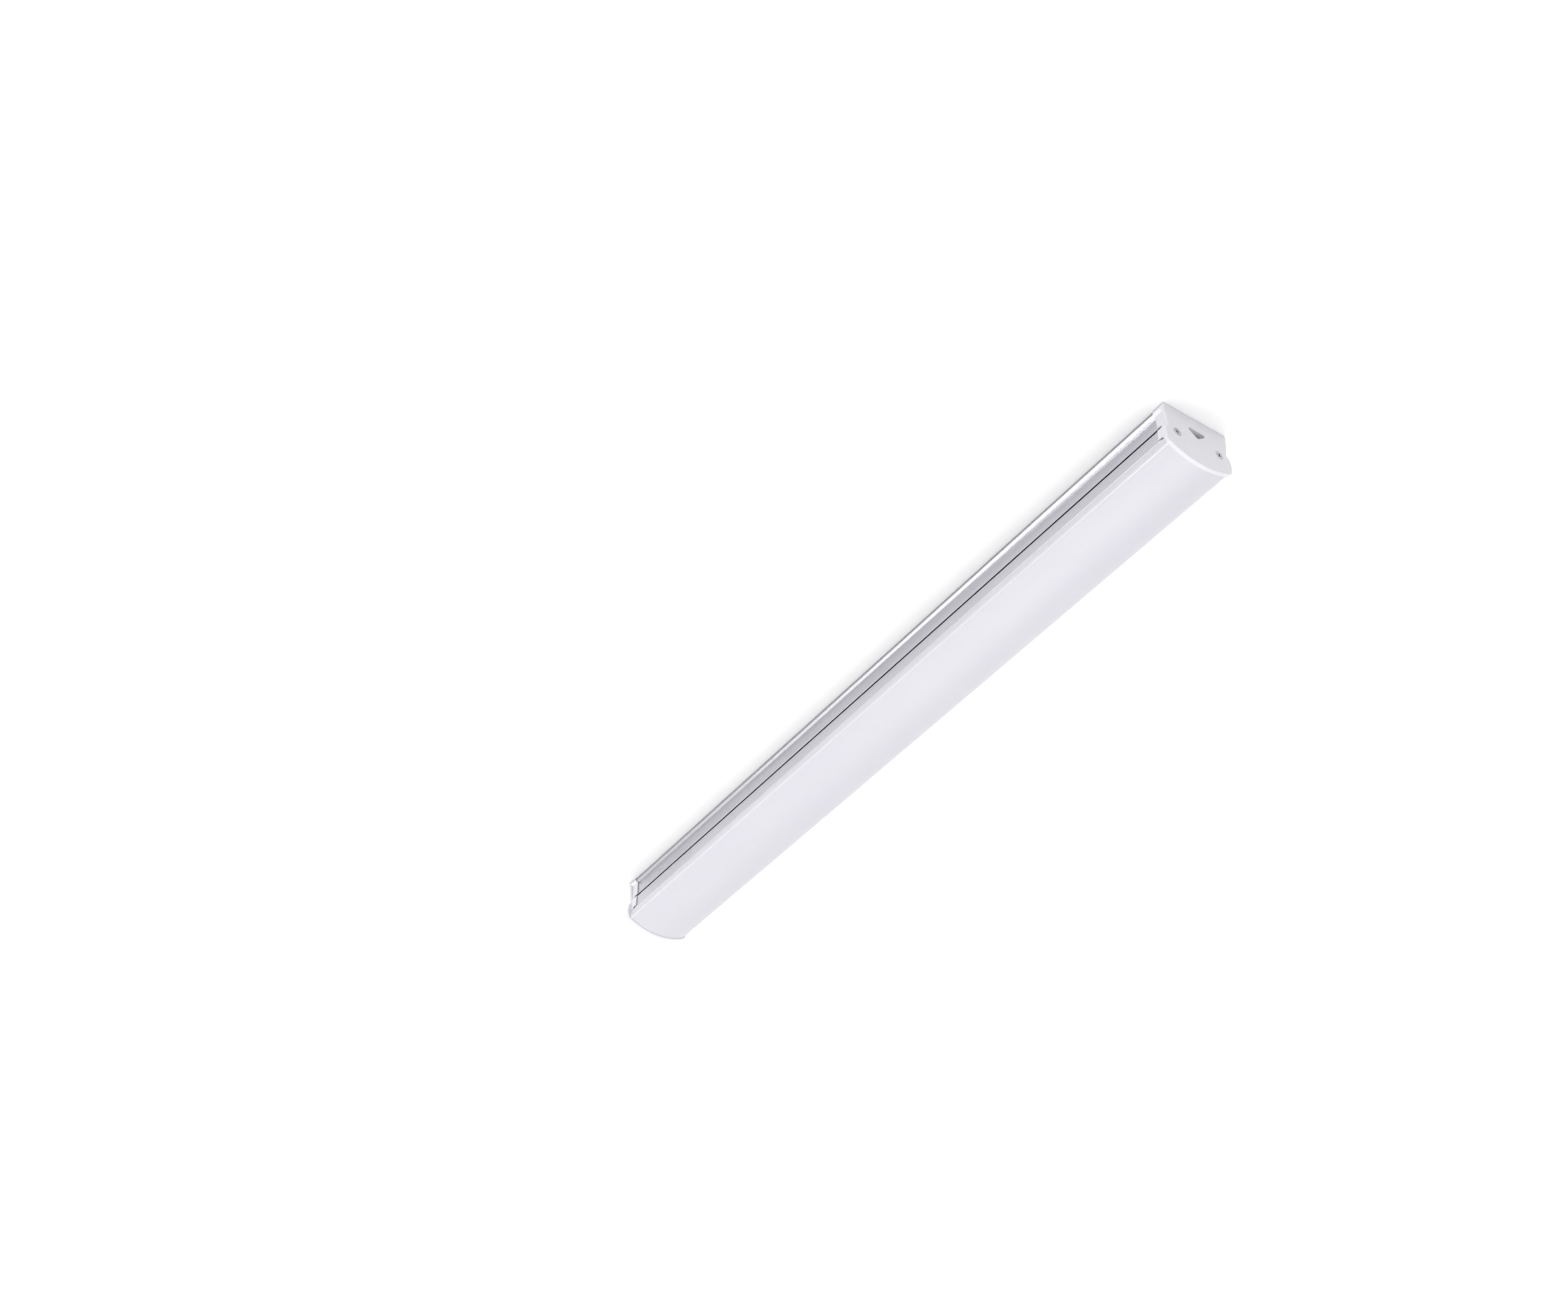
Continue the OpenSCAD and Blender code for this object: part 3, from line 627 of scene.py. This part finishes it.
def circuit_board():
    """Pressed paper board with its fibres showing."""
    s = Surface("circuit_board", (0.50, 0.34, 0.14), 0.6)
    fibres = s.noise((2400, 900, 2400), detail=5, roughness=0.7)
    patches = s.noise((90, 90, 90), detail=3)
    s.tint(fibres, (0.60, 0.44, 0.20), 0.8)
    s.tint(patches, (0.42, 0.27, 0.11), 0.5)
    s.vary_roughness(fibres, 0.5, 0.72)
    s.relief(fibres, 0.01 * MM)
    return s.material


def led_package():
    """White package with a yellow phosphor window, repeated along both rows."""
    s = Surface("led_package", (0.86, 0.86, 0.83), 0.35)
    low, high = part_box("led_packages")
    length, width, per_row = 3.5 * MM, 2.8 * MM, 48
    window_half_length, window_half_width = 1.35 * MM, 1.0 * MM
    pitch = (high.x - low.x - length) / (per_row - 1)
    step = s.math("FRACT", s.math("DIVIDE", s.math("SUBTRACT", s.coordinate("X"), low.x), pitch))
    along = s.near(s.math("MULTIPLY", step, pitch), length / 2, window_half_length)
    across = s.near(s.math("ABSOLUTE", s.coordinate("Y")), high.y - width / 2, window_half_width)
    window = s.math("MINIMUM", along, across)
    grains = s.noise((5200, 5200, 5200), detail=3)
    s.tint(window, (0.92, 0.78, 0.24), 1.0, 0.2, 0.8)
    s.tint(s.math("MULTIPLY", window, grains), (0.84, 0.62, 0.12), 0.7, 0.4, 0.7)
    s.vary_roughness(grains, 0.25, 0.42)
    s.relief(s.spread(window, 0, 1, 1, 0), 0.05 * MM)
    s.relief(grains, 0.006 * MM)
    return s.material


def resistor_body():
    """Lacquered body with painted colour rings."""
    s = Surface("resistor_body", (0.25, 0.50, 0.62), 0.35, Coat_Weight=0.3)
    rings = s.bands((390, 1, 1), "X")
    grain = s.noise((1800, 1800, 1800), detail=3)
    s.tint(rings, (0.30, 0.10, 0.04), 0.95, 0.72, 0.8)
    s.vary_roughness(grain, 0.28, 0.42)
    s.relief(grain, 0.01 * MM)
    return s.material


def coil_tape():
    """Yellow tape with its laps and creases."""
    s = Surface("coil_tape", (0.84, 0.64, 0.08), 0.32, Coat_Weight=0.4)
    laps = s.bands((0.5, 90, 260), "Z")
    creases = s.noise((500, 900, 900), detail=4)
    s.tint(laps, (0.72, 0.52, 0.05), 0.6)
    s.relief(laps, 0.03 * MM)
    s.relief(creases, 0.01 * MM)
    s.vary_roughness(creases, 0.25, 0.45)
    return s.material


def green_yellow():
    """Earth wire: a yellow stripe runs along the green insulation."""
    s = Surface("wire_green_yellow", (0.10, 0.36, 0.08), 0.42)
    stripe = s.bands((3, 420, 420), "DIAGONAL")
    grain = s.noise((1500, 1500, 1500), detail=2)
    s.tint(stripe, (0.78, 0.68, 0.05), 1.0, 0.52, 0.56)
    s.vary_roughness(grain, 0.35, 0.5)
    s.relief(grain, 0.006 * MM)
    return s.material


MATERIALS = {
    "anodised_aluminium": anodised_aluminium(),
    "opal_plastic": opal_plastic(),
    "white_plastic": white_plastic(),
    "screw_steel": metal("screw_steel", (0.50, 0.50, 0.52), (0.38, 0.38, 0.41), 0.3),
    "socket_plastic": moulded("socket_plastic", (0.07, 0.07, 0.078), 0.5),
    "contact_metal": metal("contact_metal", (0.80, 0.74, 0.58), (0.66, 0.58, 0.40), 0.25),
    "board_white": board_white(),
    "led_phosphor": led_package(),
    "thermal_tape": moulded("thermal_tape", (0.52, 0.55, 0.60), 0.75, 1100, 0.02),
    "black_rubber": moulded("black_rubber", (0.03, 0.03, 0.033), 0.7, 1300, 0.015),
    "tray_plastic": moulded("tray_plastic", (0.78, 0.78, 0.74), 0.5, 900),
    "circuit_board": circuit_board(),
    "terminal_green": moulded("terminal_green", (0.05, 0.26, 0.12), 0.45),
    "black_epoxy": moulded("black_epoxy", (0.03, 0.03, 0.034), 0.55, 2600, 0.014),
    "varistor_blue": moulded("varistor_blue", (0.03, 0.13, 0.45), 0.3, 700, 0.02, Coat_Weight=0.4),
    "ferrite": moulded("ferrite", (0.07, 0.07, 0.075), 0.62, 1500, 0.02),
    "copper_wire": metal("copper_wire", (0.78, 0.33, 0.12), (0.55, 0.20, 0.07), 0.3),
    "coil_tape": coil_tape(),
    "film_yellow": moulded("film_yellow", (0.82, 0.55, 0.05), 0.38),
    "can_sleeve": moulded("can_sleeve", (0.03, 0.04, 0.09), 0.3, 600, 0.012, Coat_Weight=0.3),
    "resistor_body": resistor_body(),
    "wire_brown": moulded("wire_brown", (0.22, 0.09, 0.04), 0.42),
    "wire_blue": moulded("wire_blue", (0.03, 0.12, 0.46), 0.42),
    "wire_green_yellow": green_yellow(),
    "wire_red": moulded("wire_red", (0.50, 0.02, 0.02), 0.42),
    "wire_black": moulded("wire_black", (0.025, 0.025, 0.028), 0.42),
    "tinned_metal": metal("tinned_metal", (0.76, 0.76, 0.74), (0.62, 0.62, 0.60), 0.35),
}
SLOTS = {row["node"]: row["material_slot"] for row in frame["record"]["subparts"]}


# ---------- pieces ----------

# CAD nodes whose rounded edges leave slivers, and the wider merge that clears them
SLIVERED = ("contact_pins_near", "contact_pins_far", "earth_lugs", "switching_transistor")
SLIVER_MERGE = 0.004 * MM


def place(piece, slot, *nodes):
    """Gives a new piece its finish and body, and lets it stand for the CAD nodes."""
    weld_mesh(piece.data)
    shade(piece.data)
    flats = piece.modifiers.new("flats", "WEIGHTED_NORMAL")
    flats.keep_sharp = True
    piece.data.materials.clear()
    piece.data.materials.append(MATERIALS[slot])
    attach(piece, BODY)
    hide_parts(*nodes)


def at_far_end(mesh):
    """Mirrors a near-end mesh to the far end."""
    mesh.transform(Matrix.Diagonal((-1, 1, 1, 1)))
    mesh.flip_normals()


def make_housing():
    """The extrusion, with the hole in its plate for the LED wires."""
    housing = extrusion("housing_profile", [housing_outline(), driver_cavity()], -BODY_X, BODY_X, SAWN_EDGE)
    hole_x = sum(corner.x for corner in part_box("wire_bushing")) / 2
    hole_centre = (hole_x, 0, sum(PLATE_Z) / 2 * MM)
    wire_hole = cylinder("wire_hole", WIRE_HOLE_R, 2, "Y", hole_centre)
    combine(housing, [wire_hole], "DIFFERENCE")
    place(housing, "anodised_aluminium", "housing_extrusion")


def make_cover():
    """The diffuser, as long as the housing."""
    cover = extrusion("opal_diffuser", [cover_outline()], -BODY_X, BODY_X, SAWN_EDGE)
    place(cover, "opal_plastic", "opal_cover")


def countersink(side):
    """Shape cut from a cap for one of its screws."""
    y, z = SCREW_PLACE
    clearance_r, depth = 1.75, 5
    profile = [(-1, 0), (-1, 3.2), (0, 3.2), (0.1, 3.05), (1.6, clearance_r), (depth, clearance_r),
               (depth, 0)]
    return lathe("countersink", in_metres(-FACE_X, profile), (side * y, z), steps=40)


def relief_slot(side, height):
    """Tools that cut a round-ended slot into a cheek's end, where a seam of the side runs in."""
    radius, depth, through = 1.2, 2.6, 4
    y, end_x = side * CAP_HALF, -CHEEK_X - depth * MM
    mouth = rectangle((y - through, height - radius), (y + through, height + radius))
    run = extrusion("slot_run", [mouth], end_x, -CHEEK_X + MM)
    end = cylinder("slot_end", radius, through, "Z", (end_x, y * MM, height * MM), steps=32)
    return [run, end]


def make_cap(name, node, far):
    """A cap with its cheeks, socket shroud and ribs, modelled at the near end."""
    overlap = 0.5 * MM
    rib_y, rib_half, rib_low, rib_high = 19.9, 0.6, 1.9, 10.9
    cap = extrusion(name, [cap_outline()], -FACE_X, -BODY_X, edge=0.45 * MM)
    cheeks = [extrusion("cheek", [cheek_skin()], -BODY_X - overlap, -CHEEK_X, 0.05 * MM) for _ in range(2)]
    cheeks[1].data.transform(Matrix.Diagonal((1, -1, 1, 1)))
    cheeks[1].data.flip_normals()
    shroud = extrusion("shroud", [socket_outline(grow=1.2)], -BODY_X - overlap, -SHROUD_X, 0.1 * MM)
    ribs = [
        extrusion("rib", [rectangle((y - rib_half, rib_low), (y + rib_half, rib_high), 0.2)],
                  -BODY_X - overlap, -CHEEK_X + MM, 0.1 * MM)
        for y in (-rib_y, rib_y)]
    combine(cap, [shroud, *ribs, *cheeks], "UNION")
    socket = extrusion("socket", [socket_outline()], -FACE_X - MM, -SHROUD_X + MM)
    slots = [tool for side in (-1, 1) for height in SLOT_HEIGHTS for tool in relief_slot(side, height)]
    combine(cap, [socket, countersink(-1), countersink(1), *slots], "DIFFERENCE")
    ease_edges(cap.data, width=0.14 * MM)
    if far:
        at_far_end(cap.data)
    place(cap, "white_plastic", node)


def thread(pitch, height):
    """Offset of a self-tapping screw's surface: a narrow helical ridge."""
    steepness = 4                                      # a ridge is half a pitch wide at its foot
    def offset(x, angle):
        phase = (x / pitch + angle / (2 * math.pi)) % 1
        return height * max(0, 1 - abs(phase - 0.5) * steepness)
    return offset


def screw_head(side):
    """Countersunk head with a cross recess."""
    y, z = SCREW_PLACE
    face_x = -SCREW_HEAD_X
    profile = [(0, 0), (0, 2.6), (0.06, 2.8), (0.2, 2.88), (0.35, 2.75), (1.6, 1.35), (2, 1.2), (2.4, 0)]
    recess_half, recess_width, recess_depth = 1.5, 0.7, 1.2
    twist = 20 * side                                  # the two recesses are turned unlike each other
    head = lathe("head", in_metres(face_x, profile), (side * y, z))
    for turn in (0, 90):
        wing_outline = rectangle((-recess_half, -recess_width / 2), (recess_half, recess_width / 2), 0.1)
        wing = extrusion("wing", [wing_outline], face_x - MM, face_x + recess_depth * MM)
        wing.data.transform(Matrix.Rotation(math.radians(turn + twist), 4, "X"))
        wing.data.transform(Matrix.Translation((0, side * y * MM, z * MM)))
        combine(head, [wing], "DIFFERENCE")
    ease_edges(head.data, width=0.05 * MM)
    return head


def screw_shank(side):
    """Threaded shank that tapers to a blunt point."""
    y, z = SCREW_PLACE
    start, end = -SCREW_HEAD_X + 2 * MM, -SCREW_TIP_X   # from inside the head
    core_r, blunt, taper, count = 0.95 * MM, 0.25, 2 * MM, 110
    rings = [start + (end - start) * i / count for i in range(count)]
    core = [(x, core_r * min(1, blunt + (end - x) / taper)) for x in rings]
    ridge = thread(pitch=1.3 * MM, height=0.34 * MM)
    return lathe("shank", [(start, 0), *core, (end, 0)], (side * y, z), steps=28, wobble=ridge)


def make_screws(name, node, far):
    """A cap's two screws as one piece, modelled at the near end."""
    screws = []
    for side in (-1, 1):
        screw = screw_head(side)
        combine(screw, [screw_shank(side)], "UNION")
        screws.append(screw)
    joined = joined_mesh(name, [screw.data for screw in screws])
    for screw in screws:
        bpy.data.objects.remove(screw)
    if far:
        at_far_end(joined)
    place(add(name, joined), "screw_steel", node)


def dress(node):
    """A CAD node that stays: its own finish, rounded edges and smooth round faces."""
    piece = frame["nodes"][node]
    for material_slot in piece.material_slots:
        material_slot.material = MATERIALS[SLOTS[node]]
    weld = piece.modifiers.new("weld", "WELD")
    weld.merge_threshold = MERGE
    flats = piece.modifiers.new("flats", "DECIMATE")
    flats.decimate_type = "DISSOLVE"
    flats.angle_limit = FLAT
    edges = piece.modifiers.new("edges", "BEVEL")
    edges.width = 0.12 * MM
    edges.segments = 2
    edges.limit_method = "ANGLE"
    edges.angle_limit = SHARP
    if node in SLIVERED:
        slivers = piece.modifiers.new("slivers", "WELD")
        slivers.merge_threshold = SLIVER_MERGE
    shade(piece.data)


# ---------- studio ----------

def make_floor():
    """A wide sheet of pale paper under the fixture."""
    size = 40
    bpy.ops.mesh.primitive_plane_add(size=size, location=(0, 0, cad_low.z - 0.1 * MM))
    floor = bpy.context.object
    floor.name = "floor"
    s = Surface("floor_paper", (0.97, 0.97, 0.97), 0.9)
    s.relief(s.noise((300, 300, 300), detail=2), 0.02 * MM)
    floor.data.materials.append(s.material)


def soft_light(name, location, target, size, power):
    """Rectangular light that faces its target."""
    data = bpy.data.lights.new(name, "AREA")
    data.shape = "RECTANGLE"
    data.size, data.size_y = size
    data.energy = power
    light = add(name, data)
    light.location = location
    light.rotation_mode = "QUATERNION"
    light.rotation_quaternion = (Vector(target) - Vector(location)).to_track_quat("-Z", "Y")


def make_studio():
    """Even white surroundings, a broad light overhead, and a weaker one from the side."""
    world = bpy.data.worlds.new("studio")
    world.use_nodes = True
    background = world.node_tree.nodes["Background"]
    background.inputs["Color"].default_value = (1, 1, 1, 1)
    background.inputs["Strength"].default_value = 0.64
    bpy.context.scene.world = world
    bpy.context.scene.view_settings.view_transform = "Standard"
    soft_light("overhead", location=(0.4, 0.5, 3.5), target=(0.4, 0.5, 0), size=(4.8, 4), power=108)
    soft_light("side", location=(0.42, -1.55, 0.38), target=(0, 0, 0.03), size=(0.35, 0.6), power=5)
    make_floor()


def make_camera():
    """Looks down on the light side from beyond the near end, rolled over so that the back is uppermost."""
    target = Vector((0.0173, -0.0775, 0))
    distance = 1.457
    azimuth, elevation, roll = math.radians(-55.18), math.radians(41.07), math.radians(179.95)
    back = Vector((math.sin(azimuth) * math.cos(elevation), -math.cos(azimuth) * math.cos(elevation),
                   math.sin(elevation)))
    data = bpy.data.cameras.new("camera")
    data.lens = 49.81
    data.sensor_width = 36
    data.clip_start, data.clip_end = 0.05, 50
    camera = add("camera", data)
    camera.location = target + back * distance
    camera.rotation_mode = "QUATERNION"
    aim = (-back).to_track_quat("-Z", "Y")
    camera.rotation_quaternion = aim @ Matrix.Rotation(roll, 3, "Z").to_quaternion()
    bpy.context.scene.camera = camera


make_camera()
make_studio()
make_housing()
make_cover()
make_cap("end_cap_shell_near", "end_cap_near", False)
make_cap("end_cap_shell_far", "end_cap_far", True)
make_screws("cap_screw_pair_near", "cap_screws_near", False)
make_screws("cap_screw_pair_far", "cap_screws_far", True)
replaced = {"housing_extrusion", "opal_cover", "end_cap_near", "end_cap_far",
            "cap_screws_near", "cap_screws_far"}
for node_name in sorted(set(frame["nodes"]) - replaced):
    dress(node_name)
